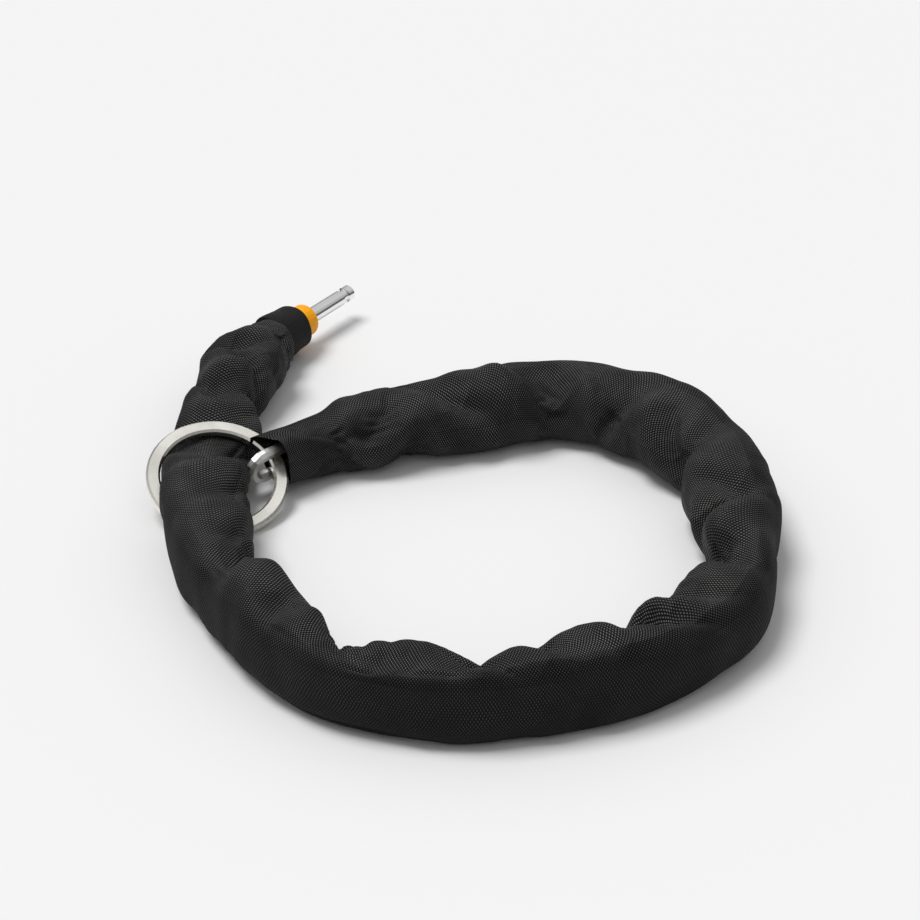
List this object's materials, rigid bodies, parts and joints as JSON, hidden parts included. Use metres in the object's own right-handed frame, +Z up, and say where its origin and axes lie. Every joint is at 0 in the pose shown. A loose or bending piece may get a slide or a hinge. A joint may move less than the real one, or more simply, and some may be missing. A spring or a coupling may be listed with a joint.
{
  "type": "plug-in bicycle lock chain",
  "caption": "Sleeved steel chain with a plug pin and orange collar at one end and a large welded ring at the other, lying in a noose.",
  "frame": {"origin": "middle of the bounding box's underside, on the surface that the chain lies on", "axes": "+Z up; the loop opens in the XY plane; the plug lies towards +Y and -X, and the front of the loop towards -Y"},
  "size_m": [0.33, 0.4332, 0.0415],
  "materials": {
    "chain_steel": "zinc plated hardened steel, semi bright",
    "pin_steel": "polished, bright zinc or chrome plated",
    "ring_steel": "warm nickel plate, softly brushed",
    "collar_plastic": "satin orange plastic",
    "sleeve_fabric": "black woven nylon with a coarse rib and a light sheen",
    "cuff_fabric": "black close-woven band"
  },
  "bodies": {
    "loop_front": {"chain_link_17": "chain_steel", "sleeve_section_09": "sleeve_fabric", "chain_link_18": "chain_steel", "chain_link_19": "chain_steel", "sleeve_section_10": "sleeve_fabric", "chain_link_20": "chain_steel", "chain_link_21": "chain_steel", "sleeve_section_11": "sleeve_fabric", "chain_link_22": "chain_steel"},
    "crossing": {"chain_link_05": "chain_steel", "sleeve_section_03": "sleeve_fabric", "chain_link_06": "chain_steel", "chain_link_07": "chain_steel", "sleeve_section_04": "sleeve_fabric", "chain_link_08": "chain_steel"},
    "link_04": {"chain_link_04": "chain_steel"},
    "link_03": {"chain_link_03": "chain_steel", "sleeve_section_02": "sleeve_fabric"},
    "link_02": {"chain_link_02": "chain_steel"},
    "link_01": {"chain_link_01": "chain_steel", "sleeve_section_01": "sleeve_fabric"},
    "link_00": {"chain_link_00": "chain_steel"},
    "plug": {"plug_fork": "chain_steel", "fork_rivet": "chain_steel", "plug_pin": "pin_steel", "plug_collar": "collar_plastic", "plug_cuff": "cuff_fabric"},
    "link_09": {"chain_link_09": "chain_steel", "sleeve_section_05": "sleeve_fabric"},
    "link_10": {"chain_link_10": "chain_steel"},
    "link_11": {"chain_link_11": "chain_steel", "sleeve_section_06": "sleeve_fabric"},
    "link_12": {"chain_link_12": "chain_steel"},
    "link_13": {"chain_link_13": "chain_steel", "sleeve_section_07": "sleeve_fabric"},
    "link_14": {"chain_link_14": "chain_steel"},
    "link_15": {"chain_link_15": "chain_steel", "sleeve_section_08": "sleeve_fabric"},
    "link_16": {"chain_link_16": "chain_steel"},
    "link_23": {"chain_link_23": "chain_steel", "sleeve_section_12": "sleeve_fabric"},
    "link_24": {"chain_link_24": "chain_steel"},
    "link_25": {"chain_link_25": "chain_steel", "sleeve_section_13": "sleeve_fabric"},
    "link_26": {"chain_link_26": "chain_steel"},
    "link_27": {"chain_link_27": "chain_steel", "sleeve_section_14": "sleeve_fabric"},
    "link_28": {"chain_link_28": "chain_steel"},
    "link_29": {"chain_link_29": "chain_steel", "sleeve_section_15": "sleeve_fabric"},
    "link_30": {"chain_link_30": "chain_steel"},
    "ring_end": {"chain_link_31": "chain_steel", "sleeve_section_16": "sleeve_fabric", "chain_link_32": "chain_steel", "chain_link_33": "chain_steel", "sleeve_section_17": "sleeve_fabric"},
    "end_ring": {"end_ring": "ring_steel"}
  },
  "joints": [
    {"name": "tail_swing_4", "type": "hinge", "parent": "crossing", "child": "link_04", "pos_m": [-0.13408, 0.02263, 0.0144], "axis": [0, 0, 1], "range_deg": [-5, 5]},
    {"name": "tail_swing_3", "type": "hinge", "parent": "link_04", "child": "link_03", "pos_m": [-0.13478, 0.04482, 0.0137], "axis": [0, 0, 1], "range_deg": [-8, 8]},
    {"name": "tail_swing_2", "type": "hinge", "parent": "link_03", "child": "link_02", "pos_m": [-0.13383, 0.08101, 0.0139], "axis": [0, 0, 1], "range_deg": [-11, 11]},
    {"name": "tail_swing_1", "type": "hinge", "parent": "link_02", "child": "link_01", "pos_m": [-0.1319, 0.10312, 0.0146], "axis": [0, 0, 1], "range_deg": [-11, 11]},
    {"name": "plug_lift", "type": "hinge", "parent": "link_01", "child": "link_00", "pos_m": [-0.12467, 0.13178, 0.0158], "axis": [0.8241, -0.5664, 0], "range_deg": [0, 35]},
    {"name": "plug_swing", "type": "hinge", "parent": "link_00", "child": "plug", "pos_m": [-0.10814, 0.15585, 0.017], "axis": [0, 0, 1], "range_deg": [-25, 25]},
    {"name": "near_side_bend_1", "type": "hinge", "parent": "link_09", "child": "crossing", "pos_m": [-0.11069, -0.09071, 0.0142], "axis": [0, 0, 1], "range_deg": [-5, 5]},
    {"name": "near_side_bend_2", "type": "hinge", "parent": "link_10", "child": "link_09", "pos_m": [-0.09772, -0.1245, 0.0136], "axis": [0, 0, 1], "range_deg": [-5, 5]},
    {"name": "loop_sway", "type": "hinge", "parent": "link_11", "child": "link_10", "pos_m": [-0.09049, -0.1455, 0.0134], "axis": [0, 0, 1], "range_deg": [-5, 5]},
    {"name": "near_side_bend_4", "type": "hinge", "parent": "link_12", "child": "link_11", "pos_m": [-0.06846, -0.17421, 0.0134], "axis": [0, 0, 1], "range_deg": [-5, 5]},
    {"name": "near_side_bend_5", "type": "hinge", "parent": "link_13", "child": "link_12", "pos_m": [-0.05005, -0.18663, 0.0134], "axis": [0, 0, 1], "range_deg": [-5, 5]},
    {"name": "near_side_bend_6", "type": "hinge", "parent": "link_14", "child": "link_13", "pos_m": [-0.01517, -0.1963, 0.0134], "axis": [0, 0, 1], "range_deg": [-6.25, 6.25]},
    {"name": "near_side_bend_7", "type": "hinge", "parent": "link_15", "child": "link_14", "pos_m": [0.007, -0.19514, 0.0134], "axis": [0, 0, 1], "range_deg": [-6.25, 6.25]},
    {"name": "near_side_bend_8", "type": "hinge", "parent": "link_16", "child": "link_15", "pos_m": [0.04202, -0.18595, 0.0134], "axis": [0, 0, 1], "range_deg": [-6.25, 6.25]},
    {"name": "near_side_bend_9", "type": "hinge", "parent": "loop_front", "child": "link_16", "pos_m": [0.0619, -0.17608, 0.0134], "axis": [0, 0, 1], "range_deg": [-6.25, 6.25]},
    {"name": "far_side_bend_1", "type": "hinge", "parent": "loop_front", "child": "link_23", "pos_m": [0.14266, -0.03299, 0.0134], "axis": [0, 0, 1], "range_deg": [-5, 5]},
    {"name": "far_side_bend_2", "type": "hinge", "parent": "link_23", "child": "link_24", "pos_m": [0.12968, 0.00081, 0.0134], "axis": [0, 0, 1], "range_deg": [-5, 5]},
    {"name": "far_side_bend_3", "type": "hinge", "parent": "link_24", "child": "link_25", "pos_m": [0.12245, 0.0218, 0.0134], "axis": [0, 0, 1], "range_deg": [-5, 5]},
    {"name": "far_side_bend_4", "type": "hinge", "parent": "link_25", "child": "link_26", "pos_m": [0.10042, 0.05052, 0.0134], "axis": [0, 0, 1], "range_deg": [-5, 5]},
    {"name": "far_side_bend_5", "type": "hinge", "parent": "link_26", "child": "link_27", "pos_m": [0.08201, 0.06293, 0.0134], "axis": [0, 0, 1], "range_deg": [-5, 5]},
    {"name": "far_side_bend_6", "type": "hinge", "parent": "link_27", "child": "link_28", "pos_m": [0.04713, 0.07261, 0.0135], "axis": [0, 0, 1], "range_deg": [-6.25, 6.25]},
    {"name": "far_side_bend_7", "type": "hinge", "parent": "link_28", "child": "link_29", "pos_m": [0.02496, 0.07145, 0.0138], "axis": [0, 0, 1], "range_deg": [-6.25, 6.25]},
    {"name": "far_side_bend_8", "type": "hinge", "parent": "link_29", "child": "link_30", "pos_m": [-0.01005, 0.06226, 0.0145], "axis": [0, 0, 1], "range_deg": [-6.25, 6.25]},
    {"name": "far_side_bend_9", "type": "hinge", "parent": "link_30", "child": "ring_end", "pos_m": [-0.02994, 0.05239, 0.0155], "axis": [0, 0, 1], "range_deg": [-6.25, 6.25]},
    {"name": "ring_turn", "type": "hinge", "parent": "ring_end", "child": "end_ring", "pos_m": [-0.12825, 0.00094, 0.017], "axis": [0.157, -0.356, 0.9212], "continuous": true}
  ],
  "couplings": [
    {"joint": "near_side_bend_1", "follows": "loop_sway", "ratio": 1},
    {"joint": "near_side_bend_2", "follows": "loop_sway", "ratio": 1},
    {"joint": "near_side_bend_4", "follows": "loop_sway", "ratio": 1},
    {"joint": "near_side_bend_5", "follows": "loop_sway", "ratio": 1},
    {"joint": "near_side_bend_6", "follows": "loop_sway", "ratio": -1.25},
    {"joint": "near_side_bend_7", "follows": "loop_sway", "ratio": -1.25},
    {"joint": "near_side_bend_8", "follows": "loop_sway", "ratio": -1.25},
    {"joint": "near_side_bend_9", "follows": "loop_sway", "ratio": -1.25},
    {"joint": "far_side_bend_1", "follows": "loop_sway", "ratio": -1},
    {"joint": "far_side_bend_2", "follows": "loop_sway", "ratio": -1},
    {"joint": "far_side_bend_3", "follows": "loop_sway", "ratio": -1},
    {"joint": "far_side_bend_4", "follows": "loop_sway", "ratio": -1},
    {"joint": "far_side_bend_5", "follows": "loop_sway", "ratio": -1},
    {"joint": "far_side_bend_6", "follows": "loop_sway", "ratio": 1.25},
    {"joint": "far_side_bend_7", "follows": "loop_sway", "ratio": 1.25},
    {"joint": "far_side_bend_8", "follows": "loop_sway", "ratio": 1.25},
    {"joint": "far_side_bend_9", "follows": "loop_sway", "ratio": 1.25}
  ]
}
